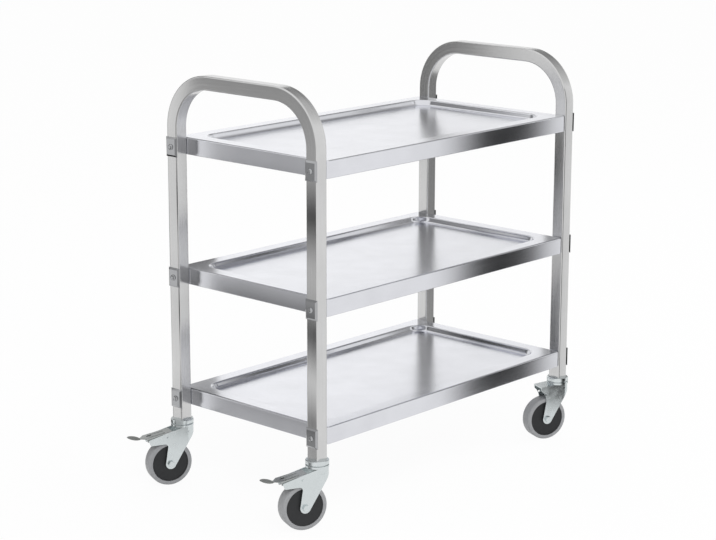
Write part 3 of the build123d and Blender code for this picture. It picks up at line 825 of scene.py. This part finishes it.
def light_world():
    """Even pale studio light from all round, a little weaker on matt surfaces."""
    matt_share = 0.8
    world = bpy.data.worlds.new("StudioWorld")
    bpy.context.scene.world = world
    world.use_nodes = True
    tree = world.node_tree
    tree.nodes.clear()
    ray = add(tree, "ShaderNodeLightPath")
    strength = add(tree, "ShaderNodeMapRange", {"Value": ray.outputs["Is Diffuse Ray"]},
                   To_Min=1.0, To_Max=matt_share)
    sky = add(tree, "ShaderNodeBackground", {"Strength": strength.outputs[0]}, Color=WHITE)
    add(tree, "ShaderNodeOutputWorld", {"Surface": sky.outputs[0]})


# Name, place and power in watts.
LAMPS = (
    ("key_lamp", (-2.5, -3.5, 4.5), 90),
    ("fill_lamp", (3.5, -2.0, 3.5), 40),
)

# Name, place from the middle of the cart, way it faces, width, height, tones and tilt in degrees.
# The tones are pairs of a share of its height, from the foot, and a brightness. A panel that is
# tilted by 90 degrees has them from side to side.
PANELS = (
    ("left_panel", (-0.64, 0.1, 0.46), (1, 0, 0), 0.57, 0.92, (
        (0, 0.5), (0.1, 0.5), (0.14, 0.2), (0.18, 0.55), (0.25, 0.95), (0.3, 0.5), (0.36, 0.04),
        (0.45, 0.6), (0.52, 0.7), (0.58, 0.4), (0.645, 0.03), (0.74, 0.5), (0.82, 0.5),
        (1, 0.35)), 0),
    ("far_panel", (-0.32, 0.9, 1.15), (0, -1, 0), 0.8, 1.3, ((0, 0.25), (1, 0.25)), 0),
    ("rear_panel", (-0.32, 0.45, 0.35), (0, -1, 0), 0.5, 0.7, (
        (0, 0.3), (0.13, 0.02), (0.27, 0.9), (0.4, 0.6), (0.52, 0.2), (0.6, 0.01), (0.75, 0.01),
        (0.85, 0.3), (1, 0.5)), 0),
    ("front_panel", (0.52, -0.5, 0.475), (0, 1, 0), 0.95, 0.42, (
        (0, 1.0), (0.1, 0.6), (0.3, 0.02), (0.75, 0.01), (0.89, 0.4), (1, 1.0)), 90),
    ("right_panel", (0.7, -0.07, 0.4), (-1, 0, 0), 0.26, 0.8, ((0, 0.4), (1, 0.25)), 0),
    ("upper_panel", (3.8, 0.1, 3.5), (-0.8, 0, -0.6), 2.6, 7.0, ((0, 0.9), (0.6, 0.3), (1, 0.3)),
     90),
)


class CART_OT_stage(bpy.types.Operator):
    """Set up the floor, the lamps, the panels and the camera"""

    bl_idname = "cart.stage"
    bl_label = "Stage"

    def execute(self, context):
        context.scene.view_settings.view_transform = "Standard"
        add_floor()
        for lamp in LAMPS:
            add_lamp(*lamp)
        for panel in PANELS:
            add_panel(*panel)
        light_world()
        add_camera()
        return {"FINISHED"}


class CART_PT_panel(bpy.types.Panel):
    """Sizes, finishes and the pieces of the cart"""

    bl_label = "Serving Cart"
    bl_idname = "CART_PT_panel"
    bl_space_type = "VIEW_3D"
    bl_region_type = "UI"
    bl_category = "Cart"

    def draw(self, context):
        column = self.layout.column(align=True)
        for step in STEPS:
            column.operator(step.bl_idname)
        for group in (context.scene.cart_sizes, context.scene.cart_finish):
            box = self.layout.box()
            for name in group.__annotations__:
                box.prop(group, name)


STEPS = (
    CART_OT_end_frames,
    CART_OT_trays,
    CART_OT_fastenings,
    CART_OT_wheels,
    CART_OT_casters,
    CART_OT_brakes,
    CART_OT_hidden_pieces,
    CART_OT_stage,
)
CLASSES = (CartSizes, CartFinish, *STEPS, CART_PT_panel)


def register():
    """Register the classes and hang the properties on the scene."""
    for item in CLASSES:
        bpy.utils.register_class(item)
    bpy.types.Scene.cart_sizes = PointerProperty(type=CartSizes)
    bpy.types.Scene.cart_finish = PointerProperty(type=CartFinish)


def unregister():
    """Take everything off again."""
    del bpy.types.Scene.cart_finish
    del bpy.types.Scene.cart_sizes
    for item in reversed(CLASSES):
        bpy.utils.unregister_class(item)


def main():
    """Build the cart and its stage in order."""
    register()
    bpy.ops.cart.end_frames()
    bpy.ops.cart.trays()
    bpy.ops.cart.fastenings()
    bpy.ops.cart.wheels()
    bpy.ops.cart.casters()
    bpy.ops.cart.brakes()
    bpy.ops.cart.hidden_pieces()
    bpy.ops.cart.stage()


if __name__ == "__main__":
    main()
